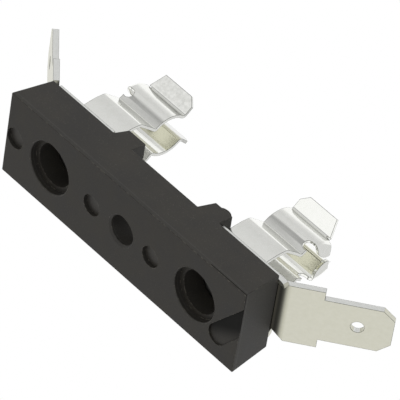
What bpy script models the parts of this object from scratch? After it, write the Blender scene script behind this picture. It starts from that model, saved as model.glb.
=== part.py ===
"""Panel mount holder for one 6.35 x 31.75 mm cartridge fuse.

A moulded block carries two identical contacts, one at each end and turned half a turn apart.
Each contact is a terminal plate with a raised push-on tab, a folded spring clip that stands on
the plate, and the rivet that holds both down on the block. Lengths are in metres, angles in
degrees. The origin is the middle of the mounting face, +Z points to the clips, and X runs along
the fuse.
"""
import math

import bmesh
import bpy
from mathutils import Matrix, Vector

# Moulded base
BASE_LENGTH = 0.0426
BASE_WIDTH = 0.0124
BASE_HEIGHT = 0.00604
END_DRAFT = 0.0007
SIDE_DRAFT = 0.000425
EDGE_RADIUS = 0.00018
EDGE_FALL = 0.0002

# Lugs beside the contacts
LUG_HEIGHT = 0.00198
LUG_TOP_LENGTH = 0.003
LUG_SLANT = 0.0006
LUG_THICKNESS = 0.00245
RIGHT_LUG_GAP = 0.0001
LEFT_LUG_GAP = 0.0006
NUB_LUG_RISE = 0.00025
NUB_LENGTH = 0.0018
NUB_RISE = 0.00032
NUB_SETBACK = 0.0002
NUB_INSET = 0.00021

# Openings and marks in the underside
SCREW_HOLE_RADIUS = 0.00198
SCREW_HOLE_CHAMFER = 0.00027
SCREW_HEAD_RADIUS = 0.0032
RIVET_MOUTH_RADIUS = 0.00354
RIVET_MOUTH_DEPTH = 0.001
RIVET_MOUTH_CHAMFER = 0.00012
RIVET_WELL_RADIUS = 0.0029
RIVET_WEB = 0.0021
PIT_RADIUS = 0.00144
PIT_DEPTH = 0.00055
PIT_OFFSET = 0.0054
END_PIT_INSET = 0.0016
SLOT_RADIUS = 0.00143
SLOT_X = 0.0179
SLOT_Y = 0.0027
SLOT_ANGLE = -51.5
SLOT_DEPTH = 0.0002

# Contacts
RIVET_SPACING = 0.0266
RIVET_RADIUS = 0.0015
RIVET_CLEARANCE = 0.00015
RIVET_HEAD_RADIUS = 0.0024
RIVET_HEAD_HEIGHT = 0.0008
RIVET_CURL_RADIUS = 0.0023
RIVET_CURL_HEIGHT = 0.0008
RIVET_BORE_RADIUS = 0.0009
RIVET_BORE_DEPTH = 0.0026

# Terminal plate
PLATE_THICKNESS = 0.0008
PLATE_HALF_WIDTH = 0.0051
PLATE_FOLD_X = 0.01995
PLATE_FOLD_RADIUS = 0.0015
TAB_ANGLE = 40.4
ROOT_HALF_WIDTH = 0.0044
ROOT_LENGTH = 0.00525
CORNER_LENGTH = 0.0017
CORNER_RADIUS = 0.0005
CORNER_SLIT = 0.00008
RELIEF_DEPTH = 0.00225
RELIEF_LENGTH = 0.0015
TAB_WIDTH = 0.00635
TAB_LENGTH = 0.00857
TAB_TIP_LENGTH = 0.0015
TAB_TIP_WIDTH = 0.0037
TAB_HOLE_RADIUS = 0.00083
TAB_HOLE_FROM_TIP = 0.00425

# Spring clip
SHEET = 0.0004
CLIP_LENGTH = 0.0068
FLOOR_HALF = 0.00275
FLOOR_BEND_RADIUS = 0.0012
PANEL_ANGLE = 80.0
PANEL_LENGTH = 0.0009
BELLY_RADIUS = 0.008
BELLY_BEND = 16.0
SHOULDER_RADIUS = 0.0009
SHOULDER_BEND = 28.5
SLOPE_LENGTH = 0.00195
RIDGE_BEND = 5.0
RIDGE_LENGTH = 0.001
CREASE_RADIUS = 0.00012
SEAT_RADIUS = 0.003575
SEAT_HALF_ANGLE = 37.5
NECK_RADIUS = 0.0003
FLARE_ANGLE = 48.0
FLARE_LENGTH = 0.00215
FLARE_CHAMFER = 0.001
FLARE_TOP_LENGTH = 0.0047
FLARE_FOOT = 0.0004
NICK_DEPTH = 0.0006
NICK_WIDTH = 0.00022
NOTCH_RADIUS = 0.0007
NOTCH_OFFSET = -0.0003
NOTCH_ANGLE = -17.5
EAR_BEND_RADIUS = 0.00075
EAR_FOOT_ANGLE = -6.0
EAR_TIP_ANGLE = 19.0
EAR_TOP_ANGLE = 32.5
EAR_FOOT_REACH = 0.0006
EAR_REACH = 0.0027
EAR_TIP_REACH = 0.0005

# How finely curves are cut into flats
BEND_STEP = 11.0
EDGE_STEPS = 8
HOLE_STEPS = 40
PIT_STEPS = 28
RIVET_STEPS = 32
DOME_STEPS = 5
OVERCUT = 0.001
MERGE = 0.000001

plate_top = BASE_HEIGHT + PLATE_THICKNESS
clip_floor = plate_top + SHEET
web_bottom = BASE_HEIGHT - RIVET_WEB
rivet_x = RIVET_SPACING / 2
clip_inner = rivet_x - CLIP_LENGTH / 2
clip_outer = rivet_x + CLIP_LENGTH / 2
rivet_hole = RIVET_RADIUS + RIVET_CLEARANCE
lug_top = BASE_HEIGHT + LUG_HEIGHT
nub_lug_top = lug_top + NUB_LUG_RISE
lug_foot = LUG_TOP_LENGTH + LUG_SLANT
right_lug_end = clip_inner - RIGHT_LUG_GAP
left_lug_end = lug_foot + LEFT_LUG_GAP - clip_inner
slit_edge = ROOT_HALF_WIDTH + CORNER_SLIT
upright = Matrix.Rotation(math.radians(90.0), 4, "X")


def clear_scene():
    """Remove the objects that the file opened with."""
    for old in list(bpy.data.objects):
        bpy.data.objects.remove(old, do_unlink=True)


def new_collection(name):
    """Make a collection and put it in the scene."""
    group = bpy.data.collections.new(name)
    bpy.context.scene.collection.children.link(group)
    return group


def new_material(name, colour, roughness, metallic):
    """Make a plain material from a linear colour."""
    finish = bpy.data.materials.new(name)
    finish.use_nodes = True
    shader = finish.node_tree.nodes["Principled BSDF"]
    shader.inputs["Base Color"].default_value = (*colour, 1.0)
    shader.inputs["Roughness"].default_value = roughness
    shader.inputs["Metallic"].default_value = metallic
    finish.diffuse_color = (*colour, 1.0)
    return finish


def add_object(name, mesh, group, matrix=Matrix()):
    """Link a mesh to a collection as a named object."""
    item = bpy.data.objects.new(name, mesh)
    item.matrix_world = matrix
    group.objects.link(item)
    return item


def finish_piece(piece, material, sharp_angle=35.0):
    """Give a piece its material and smooth shading with crisp edges."""
    piece.data.materials.append(material)
    piece.data.shade_smooth()
    piece.data.set_sharp_from_angle(angle=math.radians(sharp_angle))


def arc(centre, radius_a, radius_b, start, end, steps):
    """Points on an elliptic arc in a plane, angles in degrees."""
    points = []
    for step in range(steps + 1):
        angle = math.radians(start + (end - start) * step / steps)
        points.append((centre[0] + radius_a * math.cos(angle), centre[1] + radius_b * math.sin(angle)))
    return points


def extruded(name, outline, thickness, matrix, group):
    """A flat outline, filled and thickened about its own plane, then placed, as a mesh object."""
    curve = bpy.data.curves.new(name + "_outline", "CURVE")
    curve.dimensions = "2D"
    curve.fill_mode = "BOTH"
    curve.extrude = thickness / 2
    spline = curve.splines.new("POLY")
    spline.points.add(len(outline) - 1)
    for point, (x, y) in zip(spline.points, outline):
        point.co = (x, y, 0.0, 1.0)
    spline.use_cyclic_u = True
    holder = add_object(name + "_curve", curve, group)
    bpy.context.view_layer.update()
    flat = holder.evaluated_get(bpy.context.evaluated_depsgraph_get())
    mesh = bpy.data.meshes.new_from_object(flat)
    shape = bmesh.new()
    shape.from_mesh(mesh)
    bmesh.ops.remove_doubles(shape, verts=shape.verts, dist=MERGE)
    shape.transform(matrix)
    shape.to_mesh(mesh)
    shape.free()
    solid = add_object(name, mesh, group)
    bpy.data.objects.remove(holder, do_unlink=True)
    bpy.data.curves.remove(curve)
    return solid


def turned(name, profile, steps, group, matrix=Matrix()):
    """A solid of revolution about Z from (radius, height) points, top to bottom."""
    mesh = bpy.data.meshes.new(name)
    points = [(radius, 0.0, height) for radius, height in profile]
    mesh.from_pydata(points, [(i, i + 1) for i in range(len(points) - 1)], [])
    solid = add_object(name, mesh, group, matrix)
    screw = solid.modifiers.new("turn", "SCREW")
    screw.steps = steps
    screw.render_steps = steps
    screw.use_merge_vertices = True
    screw.merge_threshold = MERGE
    screw.use_smooth_shade = True
    return solid


def cylinder(name, radius, low, high, steps, group, matrix=Matrix()):
    """A capped cylinder about Z between two heights."""
    mesh = bpy.data.meshes.new(name)
    shape = bmesh.new()
    place = Matrix.Translation((0.0, 0.0, (low + high) / 2))
    bmesh.ops.create_cone(
        shape, cap_ends=True, segments=steps, radius1=radius, radius2=radius, depth=high - low, matrix=place
    )
    shape.to_mesh(mesh)
    shape.free()
    return add_object(name, mesh, group, matrix)


def block(name, size, centre, group):
    """A box of a size about a centre."""
    mesh = bpy.data.meshes.new(name)
    shape = bmesh.new()
    place = Matrix.Translation(centre) @ Matrix.Diagonal((*size, 1.0))
    bmesh.ops.create_cube(shape, size=1.0, matrix=place)
    shape.to_mesh(mesh)
    shape.free()
    return add_object(name, mesh, group)


def score(shape, axis, places):
    """Cut the faces of a mesh along planes square to an axis."""
    normal = Vector((0.0, 0.0, 0.0))
    normal[axis] = 1.0
    for place in places:
        everything = shape.verts[:] + shape.edges[:] + shape.faces[:]
        bmesh.ops.bisect_plane(shape, geom=everything, dist=MERGE, plane_co=normal * place, plane_no=normal)


def combine(piece, tool, operation="DIFFERENCE"):
    """Cut a tool from a piece, or join it on, and keep the tool out of the picture."""
    step = piece.modifiers.new(tool.name, "BOOLEAN")
    step.operation = operation
    step.object = tool
    step.solver = "EXACT"
    tool.hide_render = True
    tool.display_type = "WIRE"


def make_block(group):
    """The plain block: four lugs drawn up out of a top that falls to both sides between them."""
    lug_inside = BASE_WIDTH / 2 - SIDE_DRAFT - LUG_THICKNESS
    left_lug = (left_lug_end - lug_foot, left_lug_end, lug_top)
    right_lug = (right_lug_end - lug_foot, right_lug_end, nub_lug_top)
    lugs = (left_lug, right_lug)
    base = block("base", (BASE_LENGTH, BASE_WIDTH, BASE_HEIGHT), (0.0, 0.0, BASE_HEIGHT / 2), group)
    shape = bmesh.new()
    shape.from_mesh(base.data)
    score(shape, 0, [x for lug in lugs for x in lug[:2]])
    score(shape, 1, (-lug_inside, lug_inside))
    for foot, end, top in lugs:
        feet = []
        for face in shape.faces:
            middle = face.calc_center_median()
            inside = foot < middle.x < end and abs(middle.y) > lug_inside
            if inside and face.normal.z > 0.5:
                feet.append(face)
        raised = bmesh.ops.extrude_face_region(shape, geom=feet)["geom"]
        bmesh.ops.delete(shape, geom=feet, context="FACES_ONLY")
        for vertex in raised:
            if isinstance(vertex, bmesh.types.BMVert):
                vertex.co.z = top
                vertex.co.x = max(vertex.co.x, foot + LUG_SLANT)
    for vertex in shape.verts:
        outside = abs(vertex.co.y) > lug_inside + MERGE
        between_lugs = left_lug_end - MERGE < vertex.co.x < right_lug[0] + MERGE
        if outside and between_lugs and MERGE < vertex.co.z < lug_top - MERGE:
            vertex.co.z -= EDGE_FALL
        if outside:
            vertex.co.y -= math.copysign(SIDE_DRAFT / BASE_HEIGHT * vertex.co.z, vertex.co.y)
        if abs(vertex.co.x) > BASE_LENGTH / 2 - MERGE:
            vertex.co.x -= math.copysign(END_DRAFT / BASE_HEIGHT * vertex.co.z, vertex.co.x)
    flat = math.radians(0.1)
    bmesh.ops.dissolve_limit(shape, angle_limit=flat, verts=shape.verts, edges=shape.edges)
    shape.to_mesh(base.data)
    shape.free()
    return base


def make_base(group, tools, material):
    """The moulded block: lugs, screw hole, rivet wells and the marks in its underside."""
    base = make_block(group)
    edges = base.modifiers.new("edges", "BEVEL")
    edges.width = EDGE_RADIUS
    edges.segments = 2
    edges.limit_method = "ANGLE"
    edges.angle_limit = math.radians(35.0)

    combine(base, make_nub(tools), "UNION")
    combine(base, turned("screw_hole", screw_hole_profile(), HOLE_STEPS, tools))
    for turn in (0.0, 180.0):
        place = Matrix.Rotation(math.radians(turn), 4, "Z") @ Matrix.Translation((rivet_x, 0.0, 0.0))
        combine(base, turned("rivet_well", rivet_well_profile(), HOLE_STEPS, tools, place))
    for x in (-PIT_OFFSET, PIT_OFFSET, END_PIT_INSET - BASE_LENGTH / 2):
        place = Matrix.Translation((x, 0.0, 0.0))
        combine(base, cylinder("pit", PIT_RADIUS, -OVERCUT, PIT_DEPTH, PIT_STEPS, tools, place))
    combine(base, make_slot(tools))
    finish_piece(base, material)
    return base


def make_nub(tools):
    """The low rounded nub on the back of the right-hand lug."""
    half = NUB_LENGTH / 2
    radius = (half ** 2 + NUB_RISE ** 2) / (2 * NUB_RISE)
    spread = math.degrees(math.asin(half / radius))
    centre = (right_lug_end - NUB_INSET - half, nub_lug_top + NUB_RISE - radius)
    outline = arc(centre, radius, radius, 90.0 - spread, 90.0 + spread, EDGE_STEPS)
    outline += [(centre[0] - half, BASE_HEIGHT), (centre[0] + half, BASE_HEIGHT)]
    depth = LUG_THICKNESS - 2 * NUB_SETBACK
    middle = SIDE_DRAFT + NUB_SETBACK + depth / 2 - BASE_WIDTH / 2
    return extruded("nub", outline, depth, Matrix.Translation((0.0, middle, 0.0)) @ upright, tools)


def screw_hole_profile():
    """Through hole, countersunk above and chamfered below."""
    sink = SCREW_HEAD_RADIUS - SCREW_HOLE_RADIUS
    mouth = SCREW_HOLE_RADIUS + SCREW_HOLE_CHAMFER
    return [
        (0.0, BASE_HEIGHT + OVERCUT),
        (SCREW_HEAD_RADIUS + OVERCUT, BASE_HEIGHT + OVERCUT),
        (SCREW_HOLE_RADIUS, BASE_HEIGHT - sink),
        (SCREW_HOLE_RADIUS, SCREW_HOLE_CHAMFER),
        (mouth + OVERCUT, -OVERCUT),
        (0.0, -OVERCUT),
    ]


def rivet_well_profile():
    """Stepped well for the rivet's curled end, with the rivet's hole through the web."""
    mouth = RIVET_MOUTH_RADIUS + RIVET_MOUTH_CHAMFER
    return [
        (0.0, BASE_HEIGHT + OVERCUT),
        (rivet_hole, BASE_HEIGHT + OVERCUT),
        (rivet_hole, web_bottom),
        (RIVET_WELL_RADIUS, web_bottom),
        (RIVET_WELL_RADIUS, RIVET_MOUTH_DEPTH),
        (RIVET_MOUTH_RADIUS, RIVET_MOUTH_DEPTH),
        (RIVET_MOUTH_RADIUS, RIVET_MOUTH_CHAMFER),
        (mouth + OVERCUT, -OVERCUT),
        (0.0, -OVERCUT),
    ]


def make_slot(tools):
    """Shallow round-ended slot that runs out through the end face."""
    length = BASE_LENGTH / 2
    outline = arc((0.0, 0.0), SLOT_RADIUS, SLOT_RADIUS, 90.0, 270.0, 2 * EDGE_STEPS)
    outline += [(length, -SLOT_RADIUS), (length, SLOT_RADIUS)]
    turn = Matrix.Rotation(math.radians(SLOT_ANGLE), 4, "Z")
    height = SLOT_DEPTH + OVERCUT
    place = Matrix.Translation((SLOT_X, SLOT_Y, SLOT_DEPTH - height / 2)) @ turn
    return extruded("end_slot", outline, height, place, tools)


def trace(moves, heading):
    """Walk along a folded sheet's outer face.

    Each move is (length, radius, turn): a straight run where the radius is 0, otherwise a bend.
    Returns the stations as (distance, across, height) and the distance at the end of each move.
    """
    distance = 0.0
    across = 0.0
    height = 0.0
    stations = [(distance, across, height)]
    ends = []
    for length, radius, turn in moves:
        steps = max(1, math.ceil(abs(turn) / BEND_STEP))
        for _ in range(steps):
            part = math.radians(turn / steps)
            arc_length = length + radius * abs(part)
            chord = length + 2 * radius * math.sin(abs(part) / 2)
            heading += math.degrees(part) / 2
            distance += arc_length
            across += chord * math.cos(math.radians(heading))
            height += chord * math.sin(math.radians(heading))
            heading += math.degrees(part) / 2
            stations.append((distance, across, height))
        ends.append(distance)
    return stations, ends


def between(stations, distance):
    """Place of a point of the flat sheet once it is folded, as (across, height)."""
    for start, end in zip(stations, stations[1:]):
        if distance <= end[0] or end is stations[-1]:
            share = (distance - start[0]) / (end[0] - start[0])
            return tuple(a + (b - a) * share for a, b in zip(start[1:], end[1:]))


def flat_blank(outline, cuts_u, cuts_s):
    """A filled flat outline, cut along the lines where the sheet will be bent."""
    shape = bmesh.new()
    shape.faces.new([shape.verts.new((u, s, 0.0)) for u, s in outline])
    score(shape, 0, cuts_u)
    score(shape, 1, cuts_s)
    return shape


def sheet_piece(name, shape, group, turn):
    """A folded surface as a mesh object, turned about Z to its end."""
    mesh = bpy.data.meshes.new(name)
    shape.to_mesh(mesh)
    shape.free()
    return add_object(name, mesh, group, Matrix.Rotation(math.radians(turn), 4, "Z"))


def thicken(piece, thickness):
    """Give a surface its thickness, away from its normals."""
    solid = piece.modifiers.new("thickness", "SOLIDIFY")
    solid.thickness = thickness
    solid.offset = -1.0
    solid.use_even_offset = True


def leaf_moves():
    """Section of half a clip, from the middle of its floor to the tip of its flare."""
    slope_angle = PANEL_ANGLE + BELLY_BEND + SHOULDER_BEND
    ridge_angle = slope_angle + RIDGE_BEND
    seat_start = 90.0 - SEAT_HALF_ANGLE
    seat_end = 90.0 + SEAT_HALF_ANGLE
    return [
        (FLOOR_HALF, 0.0, 0.0),
        (0.0, FLOOR_BEND_RADIUS, PANEL_ANGLE),
        (PANEL_LENGTH, 0.0, 0.0),
        (0.0, BELLY_RADIUS, BELLY_BEND),
        (0.0, SHOULDER_RADIUS, SHOULDER_BEND),
        (SLOPE_LENGTH, 0.0, RIDGE_BEND),
        (RIDGE_LENGTH, 0.0, 0.0),
        (0.0, CREASE_RADIUS, seat_start - ridge_angle),
        (0.0, SEAT_RADIUS, seat_end - seat_start),
        (0.0, NECK_RADIUS, FLARE_ANGLE - seat_end),
        (FLARE_LENGTH, 0.0, 0.0),
    ]


def leaf_outline(seat_middle, neck, flare, tip):
    """Outline of half the flat clip as (along, distance), with the ear, the notch and the nick."""

    def on_seat(angle):
        return seat_middle + SEAT_RADIUS * math.radians(angle)

    notch_centre = (clip_outer + NOTCH_OFFSET, on_seat(NOTCH_ANGLE))
    notch_half = math.degrees(math.acos(-NOTCH_OFFSET / NOTCH_RADIUS))
    flare_top = clip_inner + FLARE_CHAMFER
    ear_low = (clip_outer + EAR_FOOT_REACH, on_seat(EAR_TIP_ANGLE))
    ear_high = (clip_outer + EAR_REACH - EAR_TIP_REACH, on_seat(EAR_TIP_ANGLE))
    ear_depth = SEAT_RADIUS * math.radians(EAR_TIP_ANGLE - EAR_FOOT_ANGLE)
    ear_rise = SEAT_RADIUS * math.radians(EAR_TOP_ANGLE - EAR_TIP_ANGLE)
    nick_middle = (neck + flare) / 2
    outline = [
        (clip_inner, 0.0),
        (clip_inner, tip - FLARE_CHAMFER),
        (flare_top, tip),
        (flare_top + FLARE_TOP_LENGTH, tip),
        (clip_outer - FLARE_FOOT, flare + FLARE_FOOT),
        (clip_outer - FLARE_FOOT / 2, nick_middle + NICK_WIDTH / 2),
    ]
    outline += arc((clip_outer - NICK_DEPTH, nick_middle), NICK_WIDTH / 2, NICK_WIDTH / 2, 90.0, 270.0, 4)
    outline.append((clip_outer, nick_middle - NICK_WIDTH / 2))
    outline.append((clip_outer, on_seat(EAR_TOP_ANGLE)))
    outline += arc(ear_high, EAR_TIP_REACH, ear_rise, 90.0, 0.0, EDGE_STEPS // 2)
    outline += arc(ear_low, EAR_REACH - EAR_FOOT_REACH, ear_depth, 0.0, -90.0, EDGE_STEPS)[1:]
    outline.append((clip_outer, on_seat(EAR_FOOT_ANGLE)))
    outline += arc(notch_centre, NOTCH_RADIUS, NOTCH_RADIUS, notch_half, 360.0 - notch_half, 2 * EDGE_STEPS)
    outline.append((clip_outer, 0.0))
    return outline


def roll_ear(reach):
    """Bend of the ear at the clip's end: how far it still runs out, and how far inwards."""
    quarter = EAR_BEND_RADIUS * math.pi / 2
    if reach <= 0.0:
        return reach, 0.0
    if reach <= quarter:
        angle = reach / EAR_BEND_RADIUS
        return EAR_BEND_RADIUS * math.sin(angle), EAR_BEND_RADIUS * (1.0 - math.cos(angle))
    return EAR_BEND_RADIUS, EAR_BEND_RADIUS + reach - quarter


def make_clip(name, turn, group, tools, material):
    """Spring clip: half a blank is folded up, mirrored, thickened and punched for the rivet."""
    stations, ends = trace(leaf_moves(), 0.0)
    crease, seat_end, neck_end, tip = ends[-4:]
    outline = leaf_outline((crease + seat_end) / 2, seat_end, neck_end, tip)
    quarter = EAR_BEND_RADIUS * math.pi / 2
    ear_steps = math.ceil(90.0 / BEND_STEP)
    ear_cuts = [clip_outer + quarter * step / ear_steps for step in range(ear_steps + 1)]
    blank = flat_blank(outline, ear_cuts, [station[0] for station in stations[1:-1]])
    for vertex in blank.verts:
        along, inwards = roll_ear(vertex.co.x - clip_outer)
        across, height = between(stations, vertex.co.y)
        vertex.co = (clip_outer + along, across - inwards, plate_top + height)
    clip = sheet_piece(name, blank, group, turn)
    halves = clip.modifiers.new("halves", "MIRROR")
    halves.use_axis = (False, True, False)
    halves.merge_threshold = MERGE
    thicken(clip, SHEET)
    place = Matrix.Rotation(math.radians(turn), 4, "Z") @ Matrix.Translation((rivet_x, 0.0, 0.0))
    top = clip_floor + OVERCUT
    combine(clip, cylinder("clip_hole", rivet_hole, BASE_HEIGHT, top, RIVET_STEPS, tools, place))
    finish_piece(clip, material)
    return clip


def plate_outline(fold_start, tip):
    """Flat outline of a terminal as (along, across), with its corner, relief and tab."""
    root = tip - TAB_LENGTH
    half_tab = TAB_WIDTH / 2
    half_tip = TAB_TIP_WIDTH / 2
    corner = fold_start + CORNER_LENGTH
    relief = PLATE_HALF_WIDTH - RELIEF_DEPTH
    relief_x = fold_start + RELIEF_LENGTH / 2
    outline = [(clip_inner, -PLATE_HALF_WIDTH)]
    rounding = (corner - 2 * CORNER_RADIUS, CORNER_RADIUS - PLATE_HALF_WIDTH)
    outline += arc(rounding, 2 * CORNER_RADIUS, CORNER_RADIUS, -90.0, 0.0, EDGE_STEPS // 2)
    outline += [
        (corner, -slit_edge),
        (fold_start, -slit_edge),
        (fold_start, -ROOT_HALF_WIDTH),
        (root, -ROOT_HALF_WIDTH),
        (root, -half_tab),
        (tip - TAB_TIP_LENGTH, -half_tab),
        (tip, -half_tip),
        (tip, half_tip),
        (tip - TAB_TIP_LENGTH, half_tab),
        (root, half_tab),
        (root, ROOT_HALF_WIDTH),
        (relief_x + RELIEF_LENGTH, ROOT_HALF_WIDTH),
        (relief_x, relief),
        (relief_x - RELIEF_LENGTH / 2, PLATE_HALF_WIDTH),
        (clip_inner, PLATE_HALF_WIDTH),
    ]
    return outline


def make_terminal(name, turn, group, tools, material):
    """Terminal plate: a flat blank bent up once, punched for the rivet and for the tab's latch."""
    moves = [
        (PLATE_FOLD_X - clip_inner, 0.0, 0.0),
        (0.0, PLATE_FOLD_RADIUS, TAB_ANGLE),
        (ROOT_LENGTH + TAB_LENGTH, 0.0, 0.0),
    ]
    stations, ends = trace(moves, 0.0)
    tip = clip_inner + ends[-1]
    outline = plate_outline(PLATE_FOLD_X, tip)
    cuts = [clip_inner + station[0] for station in stations[1:-1]]
    blank = flat_blank(outline, cuts, [])
    bmesh.ops.reverse_faces(blank, faces=blank.faces[:])
    slit_middle = -ROOT_HALF_WIDTH - CORNER_SLIT / 2
    for vertex in blank.verts:
        along, height = between(stations, vertex.co.x - clip_inner)
        if vertex.co.y > slit_middle:
            vertex.co.x = clip_inner + along
            vertex.co.z = height
        vertex.co.z += BASE_HEIGHT
    plate = sheet_piece(name, blank, group, turn)
    thicken(plate, PLATE_THICKNESS)
    end = Matrix.Rotation(math.radians(turn), 4, "Z")
    place = end @ Matrix.Translation((rivet_x, 0.0, 0.0))
    low = BASE_HEIGHT - OVERCUT
    high = plate_top + OVERCUT
    combine(plate, cylinder("plate_hole", rivet_hole, low, high, RIVET_STEPS, tools, place))
    across, height = between(stations, ends[-1] - TAB_HOLE_FROM_TIP)
    square = Matrix.Translation((clip_inner + across, 0.0, BASE_HEIGHT + height))
    square = end @ square @ Matrix.Rotation(math.radians(-TAB_ANGLE), 4, "Y")
    high = PLATE_THICKNESS + OVERCUT
    combine(plate, cylinder("tab_hole", TAB_HOLE_RADIUS, -OVERCUT, high, PIT_STEPS, tools, square))
    finish_piece(plate, material)
    return plate


def rivet_profile():
    """Domed head on the clip's floor, shank, and the end curled out under the web."""
    curl_bottom = web_bottom - RIVET_CURL_HEIGHT
    lip = (RIVET_CURL_RADIUS - RIVET_BORE_RADIUS) / 2
    lip_centre = (RIVET_CURL_RADIUS - lip, web_bottom - RIVET_CURL_HEIGHT / 2)
    dome = arc((0.0, clip_floor), RIVET_HEAD_RADIUS, RIVET_HEAD_HEIGHT, 90.0, 0.0, DOME_STEPS)
    curl = arc(lip_centre, lip, RIVET_CURL_HEIGHT / 2, 0.0, -180.0, 2 * DOME_STEPS)
    profile = [(0.0, clip_floor + RIVET_HEAD_HEIGHT)]
    profile += dome[1:]
    profile += [(RIVET_RADIUS, clip_floor), (RIVET_RADIUS, web_bottom), (RIVET_CURL_RADIUS, web_bottom)]
    profile += curl
    profile += [(RIVET_BORE_RADIUS, curl_bottom + RIVET_BORE_DEPTH), (0.0, curl_bottom + RIVET_BORE_DEPTH)]
    return profile


def make_rivet(name, turn, group, material):
    """The rivet of one contact."""
    place = Matrix.Rotation(math.radians(turn), 4, "Z") @ Matrix.Translation((rivet_x, 0.0, 0.0))
    rivet = turned(name, rivet_profile(), RIVET_STEPS, group, place)
    rivet.data.materials.append(material)
    return rivet


def main():
    """Build the whole holder."""
    clear_scene()
    parts = new_collection("fuse_holder")
    tools = new_collection("cutters")
    phenolic = new_material("black_phenolic", (0.045, 0.044, 0.04), 0.55, 0.0)
    spring = new_material("tinned_spring_sheet", (0.72, 0.73, 0.70), 0.25, 1.0)
    plate = new_material("tinned_terminal_sheet", (0.66, 0.65, 0.58), 0.32, 1.0)
    shank = new_material("tinned_rivet", (0.6, 0.6, 0.57), 0.35, 1.0)
    make_base(parts, tools, phenolic)
    for side, turn in (("right", 0.0), ("left", 180.0)):
        make_terminal(side + "_terminal", turn, parts, tools, plate)
        make_clip(side + "_clip", turn, parts, tools, spring)
        make_rivet(side + "_rivet", turn, parts, shank)


main()
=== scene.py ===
# %% [markdown]
# # A panel mount fuse holder
#
# This lesson dresses a small open fuse holder: a black moulded block with two tin-plated spring
# clips, two push-on terminals and two rivets. The solids come from the CAD frame and keep their
# sizes. What is added here is the surface of each piece, the light and the camera.

# %% Load the frame
import math

import bpy
from mathutils import Matrix, Vector


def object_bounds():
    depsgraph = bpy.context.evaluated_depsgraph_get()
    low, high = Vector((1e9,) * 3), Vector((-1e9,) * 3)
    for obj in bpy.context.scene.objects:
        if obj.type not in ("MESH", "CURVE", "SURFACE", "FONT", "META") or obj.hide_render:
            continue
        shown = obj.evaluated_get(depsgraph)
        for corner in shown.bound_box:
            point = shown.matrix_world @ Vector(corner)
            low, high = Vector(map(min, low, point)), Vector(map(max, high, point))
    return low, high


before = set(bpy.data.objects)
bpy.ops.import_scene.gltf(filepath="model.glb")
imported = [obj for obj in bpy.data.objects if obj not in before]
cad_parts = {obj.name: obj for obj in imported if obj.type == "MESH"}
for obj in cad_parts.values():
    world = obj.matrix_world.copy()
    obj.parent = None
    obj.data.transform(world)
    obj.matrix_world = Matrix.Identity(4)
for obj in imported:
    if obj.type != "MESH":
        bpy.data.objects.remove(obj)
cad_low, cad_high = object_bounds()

MM = 0.001
print("CAD box in mm:", [round(size / MM, 2) for size in cad_high - cad_low])

# %% [markdown]
# ## Three small helpers
#
# Colours are easiest to read as the hex values that an image editor shows. Those are sRGB, while
# a shader works in linear light, so one function turns the first into the second.
#
# A material is a tree of nodes. It could be wired up line by line, but one function that adds a
# node, sets it and links it keeps every material below short enough to read. The third helper
# starts an empty material.

# %% Colour and node helpers
def linear(hex_colour):
    """An sRGB hex value as linear red, green, blue and full alpha."""
    channels = [int(hex_colour[i:i + 2], 16) / 255 for i in (1, 3, 5)]
    return (*[c / 12.92 if c <= 0.04045 else ((c + 0.055) / 1.055) ** 2.4 for c in channels], 1.0)


def add_node(tree, kind, settings=None, **sockets):
    """Add a node. Settings are its own options; a socket takes a value or another node's output."""
    node = tree.nodes.new(kind)
    for name, value in (settings or {}).items():
        setattr(node, name, value)
    for name, value in sockets.items():
        by_number = name[0] == "i" and name[1:].isdigit()
        socket = node.inputs[int(name[1:])] if by_number else node.inputs[name]
        if isinstance(value, bpy.types.NodeSocket):
            tree.links.new(value, socket)
        else:
            socket.default_value = value
    return node


def new_material(name, kind="ShaderNodeBsdfPrincipled"):
    """An empty material with one shader joined to its output."""
    material = bpy.data.materials.new(name)
    material.use_nodes = True
    tree = material.node_tree
    tree.nodes.clear()
    shader = tree.nodes.new(kind)
    output = tree.nodes.new("ShaderNodeOutputMaterial")
    tree.links.new(shader.outputs[0], output.inputs["Surface"])
    return material, tree, shader


print("black in linear light:", [round(c, 4) for c in linear("#3f3e3a")])

# %% [markdown]
# ## Edges
#
# On a real moulding or a cut sheet no edge is quite sharp: it is a little rounded, and it catches
# the light or shows bare, scuffed material as a thin line. A Bevel modifier could cut that
# rounding, but it would move points of solids that have to keep their sizes. The Bevel shader
# node rounds only the light on them. Where its normal turns away from the flat face there is an
# edge, and that gives a mask for a tone as well.

# %% Edge mask
EDGE_START = 0.99


def edge_mask(tree, radius, samples, least):
    """The rounded normal, and a mask that is one where it agrees with the face by least or less."""
    rounded = add_node(tree, "ShaderNodeBevel", {"samples": samples}, Radius=radius).outputs["Normal"]
    flat = add_node(tree, "ShaderNodeNewGeometry").outputs["Normal"]
    agree = add_node(tree, "ShaderNodeVectorMath", {"operation": "DOT_PRODUCT"}, i0=rounded, i1=flat)
    mask = add_node(tree, "ShaderNodeMapRange", Value=agree.outputs["Value"], i1=EDGE_START, i2=least)
    return rounded, mask.outputs["Result"]


print("an edge shows from a turn of", round(math.degrees(math.acos(EDGE_START)), 1), "degrees")

# %% [markdown]
# ## Painted shade in the slot
#
# The slot of the mounting face has painted shade over one side of its floor: the colour is darker
# there and the sheen lower, standing for the shadow that falls in the slot. It could be painted as
# a picture, but a mask worked out from places stays sharp at any size. It takes the slot's floor
# by its height and its distance from the middle, and the shaded side by its distance from a
# slanting line.

# %% Slot shade mask
SLOT_SHADE_TIP = (16.7 * MM, 1.84 * MM, 0.0)
SLOT_SHADE_SIDE = (-0.5, -0.866, 0.0)
SLOT_SHADE_FADE = (-2.4 * MM, 0.1 * MM)
SLOT_FLOOR = 0.2 * MM
SLOT_FLOOR_REACH = 0.06 * MM
SLOT_START = 15.0 * MM
TIMES = {"operation": "MULTIPLY"}


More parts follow.
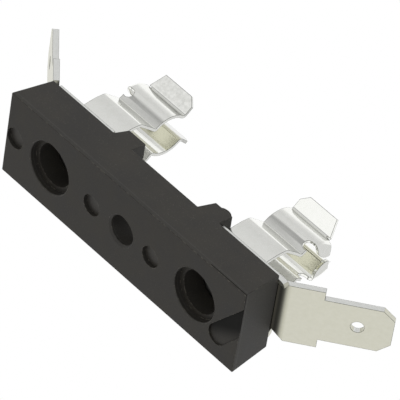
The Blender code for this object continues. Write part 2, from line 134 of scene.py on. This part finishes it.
def make_slot_shade_mask(tree, place):
    """Painted shade mask: one on the slot's floor beyond the slanting line, and zero elsewhere."""
    from_tip = add_node(tree, "ShaderNodeVectorMath", {"operation": "SUBTRACT"}, i0=place, i1=SLOT_SHADE_TIP)
    across = add_node(
        tree, "ShaderNodeVectorMath", {"operation": "DOT_PRODUCT"}, i0=from_tip.outputs[0], i1=SLOT_SHADE_SIDE,
    )
    side = add_node(
        tree, "ShaderNodeMapRange", {"interpolation_type": "SMOOTHSTEP"},
        Value=across.outputs["Value"], i1=SLOT_SHADE_FADE[0], i2=SLOT_SHADE_FADE[1],
    )
    apart = add_node(tree, "ShaderNodeSeparateXYZ", Vector=place)
    level = add_node(
        tree, "ShaderNodeMath", {"operation": "COMPARE"},
        i0=apart.outputs["Z"], i1=SLOT_FLOOR, i2=SLOT_FLOOR_REACH,
    )
    beyond = add_node(
        tree, "ShaderNodeMath", {"operation": "GREATER_THAN"}, i0=apart.outputs["X"], i1=SLOT_START,
    )
    slot = add_node(tree, "ShaderNodeMath", TIMES, i0=level.outputs[0], i1=beyond.outputs[0])
    return add_node(tree, "ShaderNodeMath", TIMES, i0=slot.outputs[0], i1=side.outputs["Result"]).outputs[0]


print("scar fades in over", round((SLOT_SHADE_FADE[1] - SLOT_SHADE_FADE[0]) / MM, 1), "mm")

# %% [markdown]
# ## Phenolic moulding
#
# The block looks like compression moulded phenolic: a thermoset filled with wood flour, pressed
# in a steel mould. That gives the eye a warm, slightly brown black with a dull sheen, very fine
# specks where filler lies near the skin, and soft cloudy differences in gloss. One flat black
# would look like paint. Three noises do better, each with the size of the thing it stands for:
# a grain of filler, a cloud left by the flow, and the ripple of the skin. The edges are a little
# paler where the ripple stands up.

# %% Phenolic colour
FILLER_GRAIN = 0.12 * MM
FILLER_SHOWS = (0.62, 0.78)
CHIP_SHOWS = (0.52, 0.62)
WORN_EDGE = 0.15 * MM
WORN_LEAST = 0.93
WORN_SAMPLES = 8
COLOURS = {"data_type": "RGBA"}


def colour_phenolic(tree, place, cloud, ripple):
    """Warm black with clouds, paler filler specks and scuffed edges."""
    tone = add_node(tree, "ShaderNodeValToRGB", Fac=cloud)
    tone.color_ramp.elements[0].position = 0.3
    tone.color_ramp.elements[0].color = linear("#252320")
    tone.color_ramp.elements[1].position = 0.7
    tone.color_ramp.elements[1].color = linear("#2f2c26")
    speck = add_node(tree, "ShaderNodeTexNoise", Vector=place, Scale=1 / FILLER_GRAIN, Detail=2.0)
    flour = add_node(
        tree, "ShaderNodeMapRange", Value=speck.outputs["Fac"], i1=FILLER_SHOWS[0], i2=FILLER_SHOWS[1],
    )
    mixed = add_node(
        tree, "ShaderNodeMix", COLOURS,
        Factor=flour.outputs["Result"], i6=tone.outputs["Color"], i7=linear("#504d44"),
    )
    edge = edge_mask(tree, WORN_EDGE, WORN_SAMPLES, WORN_LEAST)[1]
    chip = add_node(tree, "ShaderNodeMapRange", Value=ripple, i1=CHIP_SHOWS[0], i2=CHIP_SHOWS[1])
    worn = add_node(tree, "ShaderNodeMath", TIMES, i0=edge, i1=chip.outputs["Result"])
    scuffed = add_node(
        tree, "ShaderNodeMix", COLOURS, Factor=worn.outputs[0], i6=mixed.outputs[2], i7=linear("#5c5950"),
    )
    return scuffed.outputs[2]


print("filler grain", round(FILLER_GRAIN / MM, 2), "mm")

# %% [markdown]
# The sheen is painted light. It is lower on the mounting face than on the sides, which paints the
# mounting face darker and the sides lighter, and it is higher on the floors of the round pits, as
# a painted highlight that lifts the shade in them. Both follow the solid, so both can be worked
# out from it: the first from the way a face points, the second from its height.

# %% Painted phenolic sheen
FACE_SHEEN = 0.23
SIDE_SHEEN = 0.38
FACE_TURN = (-1.0, -0.7)
PIT_PAINTED_SHEEN = 0.2
PIT_FLOOR = 0.55 * MM
PIT_FLOOR_REACH = 0.05 * MM


def paint_phenolic_sheen(tree, where):
    """Painted sheen: low on the mounting face, higher on the sides and on the pits' floors."""
    facing = add_node(tree, "ShaderNodeSeparateXYZ", Vector=where["Normal"])
    skin = add_node(
        tree, "ShaderNodeMapRange",
        Value=facing.outputs["Z"], i1=FACE_TURN[0], i2=FACE_TURN[1], i3=FACE_SHEEN, i4=SIDE_SHEEN,
    )
    apart = add_node(tree, "ShaderNodeSeparateXYZ", Vector=where["Object"])
    pit = add_node(
        tree, "ShaderNodeMath", {"operation": "COMPARE"},
        i0=apart.outputs["Z"], i1=PIT_FLOOR, i2=PIT_FLOOR_REACH,
    )
    # Painted highlight: more sheen on the pits' floors lifts the shade in them.
    painted_sheen = add_node(
        tree, "ShaderNodeMath", {"operation": "MULTIPLY_ADD"},
        i0=pit.outputs[0], i1=PIT_PAINTED_SHEEN, i2=skin.outputs["Result"],
    )
    return painted_sheen.outputs[0]


print("sheen from", FACE_SHEEN, "to", SIDE_SHEEN)

# %% Phenolic
FLOW_CLOUD = 4.0 * MM
SKIN_RIPPLE = 0.45 * MM
RIPPLE_DEPTH = 0.02 * MM
SKIN_ROUGHNESS = (0.48, 0.62)
SLOT_SHADE_SHEEN = 0.06


def make_phenolic():
    """Black phenolic with its colour, painted sheen, faint ripple and painted shade in the slot."""
    material, tree, shader = new_material("moulded_phenolic")
    where = add_node(tree, "ShaderNodeTexCoord").outputs
    place = where["Object"]
    flow = add_node(tree, "ShaderNodeTexNoise", Vector=place, Scale=1 / FLOW_CLOUD, Detail=3.0)
    skin = add_node(tree, "ShaderNodeTexNoise", Vector=place, Scale=1 / SKIN_RIPPLE, Detail=4.0)
    cloud = flow.outputs["Fac"]
    ripple = skin.outputs["Fac"]
    slot_shade = make_slot_shade_mask(tree, place)
    colour = colour_phenolic(tree, place, cloud, ripple)
    # Painted shade: darker colour and lower sheen on one side of the slot's floor.
    slot_shaded = add_node(tree, "ShaderNodeMix", COLOURS, Factor=slot_shade, i6=colour, i7=linear("#0d0c0a"))
    sheen = add_node(tree, "ShaderNodeMapRange", Value=slot_shade, i3=paint_phenolic_sheen(tree, where), i4=SLOT_SHADE_SHEEN)
    gloss = add_node(tree, "ShaderNodeMapRange", Value=cloud, i3=SKIN_ROUGHNESS[0], i4=SKIN_ROUGHNESS[1])
    bump = add_node(tree, "ShaderNodeBump", Height=ripple, Strength=0.25, Distance=RIPPLE_DEPTH)
    tree.links.new(slot_shaded.outputs[2], shader.inputs["Base Color"])
    tree.links.new(sheen.outputs["Result"], shader.inputs["Specular IOR Level"])
    tree.links.new(gloss.outputs["Result"], shader.inputs["Roughness"])
    tree.links.new(bump.outputs["Normal"], shader.inputs["Normal"])
    shader.inputs["IOR"].default_value = 1.5
    return material


phenolic = make_phenolic()
print("made", phenolic.name)

# %% [markdown]
# ## The dark band under a terminal's bend
#
# Where each terminal bends up beside the block, its underside is dark in a band: the bend mirrors
# the block's dark end face and lies in shade. The cause can't be seen. Light alone leaves the band
# pale in the render. Light alone leaves the band pale in the render, so the band is painted
# reflection and painted shade: a ramp along the length multiplies the tin's colour, on downward
# faces of the bent root only.

# %% Painted bend shade
BEND_START = 20.65 * MM
BEND_END = 21.85 * MM
BEND_FIRST = (0.085, 0.08, 0.075, 1.0)
BEND_TONES = (
    (0.2, 0.035), (0.32, 0.042), (0.42, 0.085), (0.5, 0.16), (0.58, 0.33), (0.66, 0.56), (0.8, 0.84),
)
BEND_WARMTH = 0.97
DOWNWARD = -0.3
ROOT_HALF = 4.44 * MM
TINT = {"data_type": "RGBA", "blend_type": "MULTIPLY"}


def shade_bend(tree, where, tone):
    """Painted shade and reflection: darken a terminal's underside where it bends up by the block."""
    apart = add_node(tree, "ShaderNodeSeparateXYZ", Vector=where["Object"])
    length = add_node(tree, "ShaderNodeMath", {"operation": "ABSOLUTE"}, i0=apart.outputs["X"])
    along = add_node(tree, "ShaderNodeMapRange", Value=length.outputs[0], i1=BEND_START, i2=BEND_END)
    shade = add_node(tree, "ShaderNodeValToRGB", Fac=along.outputs["Result"])
    shade.color_ramp.elements[0].color = BEND_FIRST
    for position, level in BEND_TONES:
        shade.color_ramp.elements.new(position).color = (level, level, level * BEND_WARMTH, 1.0)
    facing = add_node(tree, "ShaderNodeSeparateXYZ", Vector=where["Normal"])
    under = add_node(tree, "ShaderNodeMath", {"operation": "LESS_THAN"}, i0=facing.outputs["Z"], i1=DOWNWARD)
    width = add_node(tree, "ShaderNodeMath", {"operation": "ABSOLUTE"}, i0=apart.outputs["Y"])
    inside = add_node(tree, "ShaderNodeMath", {"operation": "LESS_THAN"}, i0=width.outputs[0], i1=ROOT_HALF)
    band = add_node(tree, "ShaderNodeMath", TIMES, i0=under.outputs[0], i1=inside.outputs[0])
    shaded = add_node(
        tree, "ShaderNodeMix", TINT, Factor=band.outputs[0], i6=tone, i7=shade.outputs["Color"],
    )
    return shaded.outputs[2]


print("bend shade over", round((BEND_END - BEND_START) / MM, 2), "mm")

# %% [markdown]
# ## Painted shade on rivets and clips, and duller flares
#
# Down in their wells the rivets' curled ends are darkened nearly to black, as painted shade. The
# clips are bright, but the inner sides of the far seats get a khaki tint, which is painted shade
# and a painted reflection of the dark block. The flares of the left-hand clip are a duller grey
# than those of the right-hand one. Each of these is one more tint on the tin, held by a mask of
# heights and of the way the sheet points.

# %% Painted rivet shade
WELL_SHADE = (4.6 * MM, 5.4 * MM)
WELL_TONE = 0.06


def shade_end(tree, where, tone):
    """Painted shade: darken a rivet's curled end, down in its well."""
    apart = add_node(tree, "ShaderNodeSeparateXYZ", Vector=where["Object"])
    shade = add_node(
        tree, "ShaderNodeMapRange",
        Value=apart.outputs["Z"], i1=WELL_SHADE[0], i2=WELL_SHADE[1], i3=WELL_TONE,
    )
    return add_node(tree, "ShaderNodeMix", TINT, Factor=1.0, i6=tone, i7=shade.outputs["Result"]).outputs[2]


print("rivets are dark up to", round(WELL_SHADE[0] / MM, 1), "mm")

# %% Inner faces of the far leaves
INWARD = -0.5
FAR_SIDE = 0.5 * MM


def inner_face(tree, where, low, high):
    """One on the inner face of a far leaf between two heights, and zero elsewhere."""
    apart = add_node(tree, "ShaderNodeSeparateXYZ", Vector=where["Object"])
    facing = add_node(tree, "ShaderNodeSeparateXYZ", Vector=where["Normal"])
    inward = add_node(tree, "ShaderNodeMath", {"operation": "LESS_THAN"}, i0=facing.outputs["Y"], i1=INWARD)
    far = add_node(tree, "ShaderNodeMath", {"operation": "GREATER_THAN"}, i0=apart.outputs["Y"], i1=FAR_SIDE)
    level = add_node(
        tree, "ShaderNodeMath", {"operation": "COMPARE"},
        i0=apart.outputs["Z"], i1=(low + high) / 2, i2=(high - low) / 2,
    )
    side = add_node(tree, "ShaderNodeMath", TIMES, i0=inward.outputs[0], i1=far.outputs[0])
    return add_node(tree, "ShaderNodeMath", TIMES, i0=side.outputs[0], i1=level.outputs[0]).outputs[0]


print("far leaves start at", round(FAR_SIDE / MM, 1), "mm")

# %% Clip tints and painted seat shade
TIN_MOTTLE = 0.55 * MM
SEAT_HEIGHTS = (16.2 * MM, 18.6 * MM)
SEAT_PAINTED_SHADE = linear("#dedccc")
FLARE_HEIGHTS = (18.4 * MM, 18.7 * MM)
BLOTCH_SHOWS = (0.38, 0.64)
BLOTCH_TONES = (0.7, 0.82)


def tint_clip(tree, where, tone):
    """Painted khaki shade and reflection in the far seats, and a duller grey on the left-hand flares."""
    place = where["Object"]
    apart = add_node(tree, "ShaderNodeSeparateXYZ", Vector=place)
    left = add_node(tree, "ShaderNodeMath", {"operation": "LESS_THAN"}, i0=apart.outputs["X"], i1=0.0)
    high = add_node(
        tree, "ShaderNodeMapRange", Value=apart.outputs["Z"], i1=FLARE_HEIGHTS[0], i2=FLARE_HEIGHTS[1],
    )
    flare = add_node(tree, "ShaderNodeMath", TIMES, i0=left.outputs[0], i1=high.outputs["Result"])
    mottle = add_node(tree, "ShaderNodeTexNoise", Vector=place, Scale=1 / TIN_MOTTLE, Detail=5.0)
    blotch = add_node(
        tree, "ShaderNodeMapRange", Value=mottle.outputs["Fac"],
        i1=BLOTCH_SHOWS[0], i2=BLOTCH_SHOWS[1], i3=BLOTCH_TONES[0], i4=BLOTCH_TONES[1],
    )
    dulled = add_node(
        tree, "ShaderNodeMix", TINT, Factor=flare.outputs[0], i6=tone, i7=blotch.outputs["Result"],
    )
    # Painted shade and reflection: a darker khaki tint on the inner faces of the far seats.
    seat = inner_face(tree, where, *SEAT_HEIGHTS)
    return add_node(tree, "ShaderNodeMix", TINT, Factor=seat, i6=dulled.outputs[2], i7=SEAT_PAINTED_SHADE).outputs[2]


print("tin mottle", round(TIN_MOTTLE / MM, 2), "mm")

# %% [markdown]
# ## Haze on the far feet
#
# The feet of the far leaves look soft and pale in the photograph. As clean metal they would
# mirror the black top of the block and come out far too dark. A lamp between the leaves would
# brighten them, but the rest of the clip too, so a haze makes just the feet rougher and less
# metallic.

# %% Haze
FOOT_HEIGHTS = (8.0 * MM, 13.75 * MM)
HAZE_ROUGHNESS = 0.7
HAZE_METAL = 0.3


def add_haze(tree, shader, where, gloss):
    """Make the feet of the far leaves rougher and less metallic."""
    film = inner_face(tree, where, *FOOT_HEIGHTS)
    dull = add_node(tree, "ShaderNodeMix", Factor=film, i2=gloss, i3=HAZE_ROUGHNESS)
    metal = add_node(tree, "ShaderNodeMapRange", Value=film, i3=1.0, i4=HAZE_METAL)
    tree.links.new(dull.outputs[0], shader.inputs["Roughness"])
    tree.links.new(metal.outputs["Result"], shader.inputs["Metallic"])


print("haze from", round(FOOT_HEIGHTS[0] / MM, 1), "to", round(FOOT_HEIGHTS[1] / MM, 2), "mm")

# %% [markdown]
# ## Tin plate
#
# Clips, terminals and rivets look like brass or bronze under a few micrometres of tin.
# Bright tin on the spring clips mirrors softly and has a faint cross grain from the rolled strip,
# drawn coarser here than it is, so that it shows. The terminals have duller tin with a warmer
# tone. A metal carries its colour in the base colour, with the metallic value at 1 and the index
# of refraction at its default. The edge mask draws the edges as thin grey lines.

# %% Tin
ROLLING_LINE = 0.09 * MM
ROLLING_STRETCH = (0.08, 1.0, 1.0)
EDGE_BREAK = 0.12 * MM
EDGE_LEAST = 0.9
EDGE_SAMPLES = 12
EDGE_TONE = linear("#666760")


def make_tin(name, tones, roughness, ripple_depth, tint=None, hazy=False):
    """Tin plate over rolled strip: mottled tone and gloss, a faint grain and greyer edges."""
    material, tree, shader = new_material(name)
    where = add_node(tree, "ShaderNodeTexCoord").outputs
    place = where["Object"]
    stretch = add_node(tree, "ShaderNodeMapping", Vector=place, Scale=ROLLING_STRETCH)
    grain = add_node(tree, "ShaderNodeTexNoise", Vector=stretch.outputs["Vector"], Scale=1 / ROLLING_LINE)
    mottle = add_node(tree, "ShaderNodeTexNoise", Vector=place, Scale=1 / TIN_MOTTLE, Detail=5.0)
    height = add_node(tree, "ShaderNodeMix", Factor=0.5, i2=grain.outputs["Fac"], i3=mottle.outputs["Fac"])
    rounded, edge = edge_mask(tree, EDGE_BREAK, EDGE_SAMPLES, EDGE_LEAST)
    bump = add_node(
        tree, "ShaderNodeBump",
        Height=height.outputs[0], Strength=0.3, Distance=ripple_depth, Normal=rounded,
    )
    colour = add_node(
        tree, "ShaderNodeMix", COLOURS,
        Factor=mottle.outputs["Fac"], i6=linear(tones[0]), i7=linear(tones[1]),
    ).outputs[2]
    colour = tint(tree, where, colour) if tint else colour
    lined = add_node(tree, "ShaderNodeMix", COLOURS, Factor=edge, i6=colour, i7=EDGE_TONE)
    gloss = add_node(
        tree, "ShaderNodeMapRange", Value=mottle.outputs["Fac"], i3=roughness[0], i4=roughness[1],
    )
    tree.links.new(lined.outputs[2], shader.inputs["Base Color"])
    tree.links.new(gloss.outputs["Result"], shader.inputs["Roughness"])
    tree.links.new(bump.outputs["Normal"], shader.inputs["Normal"])
    shader.inputs["Metallic"].default_value = 1.0
    if hazy:
        add_haze(tree, shader, where, gloss.outputs["Result"])
    return material


clip_tin = make_tin("bright_tin_plate", ("#f2f3ed", "#fdfdfa"), (0.1, 0.2), 0.003 * MM, tint_clip, hazy=True)
terminal_tin = make_tin("satin_tin_plate", ("#c8c7b7", "#d6d5c8"), (0.28, 0.42), 0.012 * MM, shade_bend)
rivet_tin = make_tin("dull_tin_plate", ("#b2b2aa", "#c8c8c1"), (0.3, 0.45), 0.01 * MM, shade_end)
cut_side_highlight_tin = make_tin("cut_side_with_painted_highlight", ("#e6e7e4", "#f8f9f6"), (0.25, 0.4), 0.01 * MM)
print("made", clip_tin.name, terminal_tin.name, rivet_tin.name, cut_side_highlight_tin.name)

# %% [markdown]
# ## Dressing the solids
#
# The solids come in as loose facets. Remodelling them would risk their sizes, so three modifiers
# make them look formed without moving a point of any mesh: a weld joins the facets, an edge split
# keeps the clear edges crisp, and weighted normals make the bends and wells run smoothly into the
# flats. The sides of the terminals that face along the width take a lighter, more neutral tin of
# their own: partly the bare cut of the strip, partly a painted highlight along those sides.

# %% Give each node its finish
JOIN_DISTANCE = 0.001 * MM
CRISP_ANGLE = math.radians(34.0)
SIDEWAYS = 0.9
FINISHES = {"base": phenolic, "clip": clip_tin, "terminal": terminal_tin, "rivet": rivet_tin}

for name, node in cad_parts.items():
    node.data.materials.clear()
    node.data.materials.append(FINISHES[name.split("_")[-1]])
    node.data.attributes.remove(node.data.attributes["custom_normal"])
    node.data.shade_smooth()
    node.modifiers.new("joined_facets", "WELD").merge_threshold = JOIN_DISTANCE
    node.modifiers.new("crisp_edges", "EDGE_SPLIT").split_angle = CRISP_ANGLE
    node.modifiers.new("even_normals", "WEIGHTED_NORMAL")
    if name.endswith("_terminal"):
        # Painted highlight, besides the bare cut: the sides facing along the width take a lighter tin.
        node.data.materials.append(cut_side_highlight_tin)
        for face in node.data.polygons:
            if abs(face.normal.y) > SIDEWAYS:
                face.material_index = 1
print("dressed", len(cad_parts), "nodes")

# %% [markdown]
# ## Floor
#
# The photograph looks up at the underside, through the place where a floor would be. The floor
# could be left out, but views from above need it for the object's shadow, so it is one-sided.
# Seen from above it is a sheet of pale card, matt and even. Seen from below it isn't there. It
# stops no light either, so the lamps reach the mounting face.

# %% Floor
FLOOR_DROP = 0.05 * MM
FLOOR_SIZE = 1.2


def make_floor_finish():
    """Pale card on its upper side and clear from below."""
    material, tree, card = new_material("pale_card")
    card.inputs["Base Color"].default_value = linear("#f2f1ee")
    card.inputs["Roughness"].default_value = 0.9
    clear = add_node(tree, "ShaderNodeBsdfTransparent")
    under = add_node(tree, "ShaderNodeNewGeometry").outputs["Backfacing"]
    mix = add_node(tree, "ShaderNodeMixShader", i0=under, i1=card.outputs["BSDF"], i2=clear.outputs["BSDF"])
    tree.links.new(mix.outputs["Shader"], tree.nodes["Material Output"].inputs["Surface"])
    return material


bpy.ops.mesh.primitive_plane_add(size=FLOOR_SIZE, location=(0.0, 0.0, cad_low.z - FLOOR_DROP))
floor = bpy.context.object
floor.name = "floor"
floor.data.materials.append(make_floor_finish())
floor.visible_shadow = False
floor.visible_diffuse = False
floor.visible_glossy = False
print("floor at", round(floor.location.z / MM, 3), "mm")

# %% [markdown]
# ## World
#
# The photograph has a plain white ground and soft light from all round. One white world would do
# for both, but it can light pale surfaces until they clip. So the world is white where the camera
# and the mirrors look, and a soft grey for the rest of the light.

# %% World
SOFT_LIGHT = 0.6


def make_world():
    """White where the camera and mirrors look, and a soft grey for the rest of the light."""
    world = bpy.data.worlds.new("studio")
    world.use_nodes = True
    tree = world.node_tree
    tree.nodes.clear()
    path = add_node(tree, "ShaderNodeLightPath")
    seen = path.outputs["Is Camera Ray"]
    for ray in ("Is Glossy Ray", "Is Transmission Ray"):
        larger = add_node(tree, "ShaderNodeMath", {"operation": "MAXIMUM"}, i0=seen, i1=path.outputs[ray])
        seen = larger.outputs[0]
    soft = add_node(tree, "ShaderNodeBackground", Color=linear("#ffffff"), Strength=SOFT_LIGHT)
    white = add_node(tree, "ShaderNodeBackground", Color=linear("#ffffff"), Strength=1.0)
    mix = add_node(tree, "ShaderNodeMixShader", i0=seen, i1=soft.outputs[0], i2=white.outputs[0])
    add_node(tree, "ShaderNodeOutputWorld", Surface=mix.outputs["Shader"])
    bpy.context.scene.world = world


make_world()
print("world:", bpy.context.scene.world.name)

# %% [markdown]
# ## Graded cards for the metal
#
# Bright tin shows what it mirrors. With white all round it would look like paint. A picture of a
# room could give it something to mirror, but two cards beside the object are plainer to tune.
# They are painted in greys by height. The near one is white at its foot, darkest at the horizon
# and pale towards the top. The end one is an even light grey between a white foot and a white
# top. Only mirror rays see the cards, and the folds of the clips draw them out into soft bands.

# %% Cards
CARD_LOW = -0.4
CARD_HIGH = 0.9
CARD_MIDDLE = (CARD_LOW + CARD_HIGH) / 2
QUARTER_TURN = math.radians(90.0)
NEAR_GREYS = (
    (-0.25, 1.0), (-0.2, 0.66), (-0.14, 0.54), (-0.05, 0.42),
    (0.0, 0.34), (0.05, 0.5), (0.12, 0.72), (0.33, 0.64), (0.69, 0.8),
)
END_GREYS = ((-0.2, 1.0), (-0.05, 0.68), (0.7, 0.68))


def add_card(name, place, heading, width, greys):
    """An upright card that only mirror rays see, white at both ends, with greys by height."""
    material, tree, glow = new_material(name, "ShaderNodeEmission")
    whole = add_node(tree, "ShaderNodeTexCoord").outputs["Generated"]
    apart = add_node(tree, "ShaderNodeSeparateXYZ", Vector=whole)
    ramp = add_node(tree, "ShaderNodeValToRGB", Fac=apart.outputs["Y"])
    ramp.color_ramp.elements[0].color = (1.0, 1.0, 1.0, 1.0)
    for height, level in greys:
        position = (height - CARD_LOW) / (CARD_HIGH - CARD_LOW)
        ramp.color_ramp.elements.new(position).color = (level, level, level, 1.0)
    tree.links.new(ramp.outputs["Color"], glow.inputs["Color"])
    bpy.ops.mesh.primitive_plane_add(size=1.0, location=place, rotation=(QUARTER_TURN, 0.0, heading))
    card = bpy.context.object
    card.name = name
    card.scale = (width, CARD_HIGH - CARD_LOW, 1.0)
    card.data.materials.append(material)
    card.visible_camera = False
    card.visible_diffuse = False
    card.visible_transmission = False
    card.visible_shadow = False


add_card("near_card", (-0.25, -0.4, CARD_MIDDLE), 0.0, 1.2, NEAR_GREYS)
add_card("end_card", (0.45, 0.2, CARD_MIDDLE), QUARTER_TURN, 1.6, END_GREYS)
print("cards from", CARD_LOW, "to", CARD_HIGH, "m")

# %% [markdown]
# ## Lamps
#
# A small lamp would throw hard shadows that the photograph doesn't have. So there are three
# large, soft lamps at a plain level: one above for the usual views, one on the near side, and one
# below and in front, which lights the mounting face that the photograph looks at.

# %% Lamps
CENTRE = Vector((0.0, 0.0, 8.0 * MM))
LAMP_SIZE = 0.5
LAMPS = {
    "top_lamp": ((-0.12, -0.10, 0.50), 1.0),
    "side_lamp": ((-0.30, -0.50, 0.10), 0.6),
    "low_lamp": ((0.10, -0.30, -0.50), 0.35),
}


def add_lamp(name, place, power):
    """A square soft lamp that faces the object."""
    data = bpy.data.lights.new(name, "AREA")
    data.size = LAMP_SIZE
    data.energy = power
    lamp = bpy.data.objects.new(name, data)
    lamp.location = place
    lamp.rotation_euler = (CENTRE - Vector(place)).to_track_quat("-Z", "Y").to_euler()
    lamp.visible_glossy = False
    bpy.context.scene.collection.objects.link(lamp)


for name, (place, power) in LAMPS.items():
    add_lamp(name, place, power)
print("lamps:", list(LAMPS))

# %% [markdown]
# ## Camera
#
# The photograph has the flat look of a long lens. It was taken from below the right-hand end, and
# turned so that the block runs down to the right. The angles, the distance and the lens were fitted
# to the corners of block, tabs and clips together, because a camera set by eye would make every
# outline differ a little.

# %% Camera
CAMERA_TARGET = Vector((4.08, -3.89, 8.39)) * MM
CAMERA_DISTANCE = 593.5 * MM
CAMERA_AZIMUTH = math.radians(37.40)
CAMERA_ELEVATION = math.radians(-33.59)
CAMERA_ROLL = math.radians(63.68)
CAMERA_LENS = 450.4

back = Vector((
    math.sin(CAMERA_AZIMUTH) * math.cos(CAMERA_ELEVATION),
    -math.cos(CAMERA_AZIMUTH) * math.cos(CAMERA_ELEVATION),
    math.sin(CAMERA_ELEVATION),
))
camera = bpy.data.objects.new("camera", bpy.data.cameras.new("camera"))
camera.data.lens = CAMERA_LENS
camera.data.clip_start = 0.01
moved = Matrix.Translation(CAMERA_TARGET + back * CAMERA_DISTANCE)
upright = (-back).to_track_quat("-Z", "Y").to_matrix().to_4x4()
camera.matrix_world = moved @ upright @ Matrix.Rotation(CAMERA_ROLL, 4, "Z")
bpy.context.scene.collection.objects.link(camera)
bpy.context.scene.camera = camera
bpy.context.scene.view_settings.view_transform = "Standard"
print("camera at", [round(c / MM, 1) for c in camera.matrix_world.translation])
